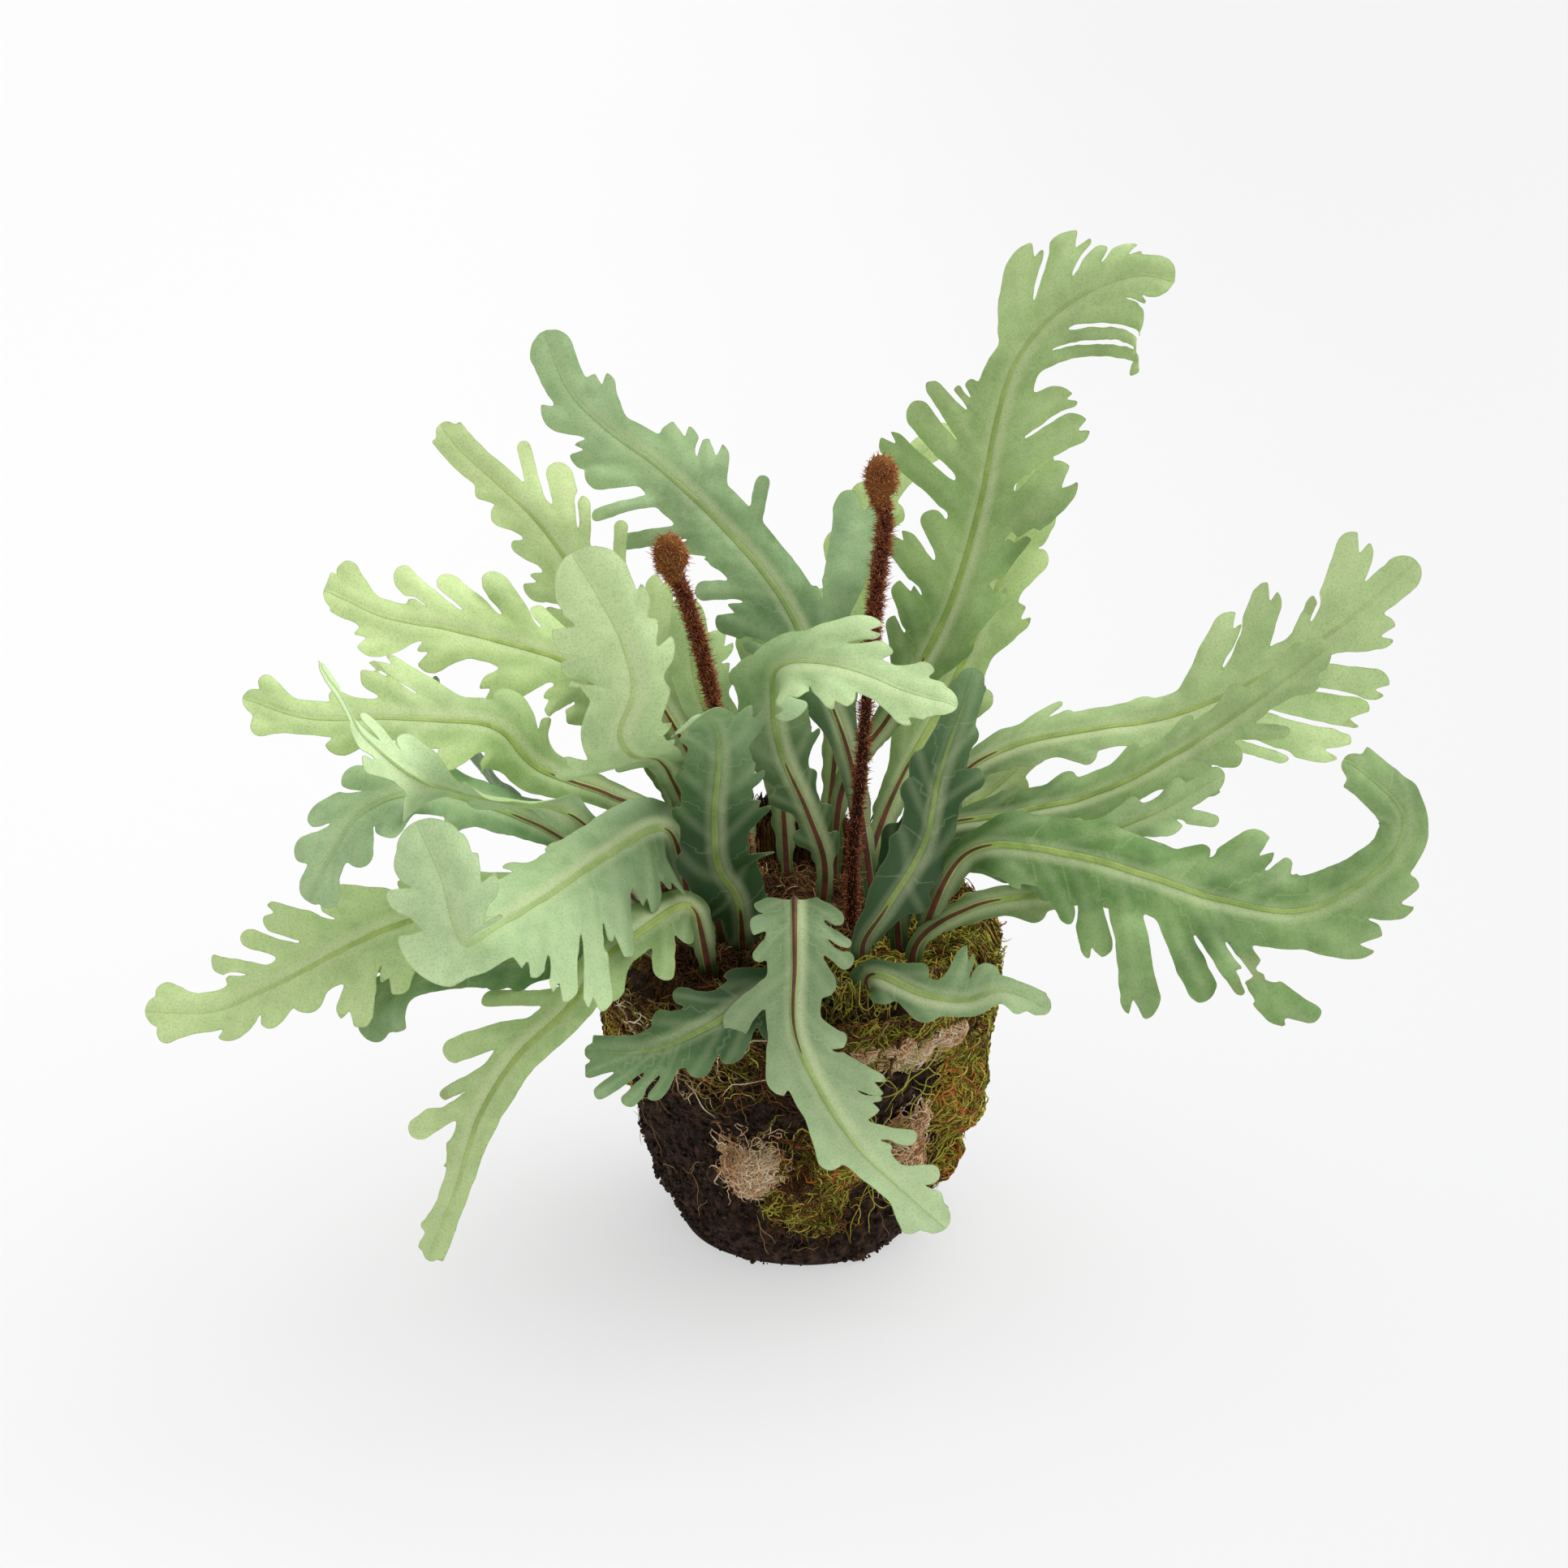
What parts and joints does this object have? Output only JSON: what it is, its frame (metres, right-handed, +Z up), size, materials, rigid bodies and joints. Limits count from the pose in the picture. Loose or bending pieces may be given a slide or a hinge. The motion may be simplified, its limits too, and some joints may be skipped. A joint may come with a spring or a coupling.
{
  "type": "potted fern lifted from its pot",
  "caption": "Fern with deeply lobed fronds growing from a bare, pot-shaped root ball of soil and moss; stands on its flat underside.",
  "frame": {"origin": "centre of the root ball's flat underside, where it rests", "axes": "+Z up out of the root ball; the front of the plant looks along -Y; +X to the plant's right as seen from the front, along its widest spread"},
  "size_m": [0.477, 0.2788, 0.4009],
  "materials": {
    "frond": "grey-green leaf with a waxy satin face and a pale raised rib",
    "young_frond": "matte, covered in rust-brown hairs",
    "soil": "matte, dark, crumbly and fibrous peat soil",
    "moss": "matte tangle of green, olive and rust-coloured moss strands",
    "dried_moss": "matte tangle of pale, dried moss strands"
  },
  "bodies": {
    "root": {"dry_tuft_front_high": "dried_moss", "dry_tuft_front_low": "dried_moss", "dry_tuft_right_low": "dried_moss", "fiddlehead_left": "young_frond", "fiddlehead_right": "young_frond", "frond_back_left": "frond", "frond_back_middle": "frond", "frond_back_right": "frond", "frond_behind_tall_right": "frond", "frond_centre_left": "frond", "frond_centre_right": "frond", "frond_cupped_tip": "frond", "frond_far_left_low": "frond", "frond_folded_tip": "frond", "frond_front_hanging": "frond", "frond_front_left": "frond", "frond_front_right": "frond", "frond_front_short": "frond", "frond_front_upright": "frond", "frond_hanging_left": "frond", "frond_left_below": "frond", "frond_left_dark": "frond", "frond_left_drooping": "frond", "frond_left_edge_on": "frond", "frond_left_high": "frond", "frond_left_middle": "frond", "frond_right_behind_low": "frond", "frond_right_high": "frond", "frond_right_low": "frond", "frond_right_middle": "frond", "frond_right_short": "frond", "frond_right_slender": "frond", "frond_tall_left": "frond", "frond_tall_right": "frond", "frond_upper_left": "frond", "moss_front_low": "moss", "moss_left_edge": "moss", "moss_right_band": "moss", "moss_top_back": "moss", "moss_top_left": "moss", "moss_top_right": "moss", "root_ball": "soil"}
  },
  "joints": []
}
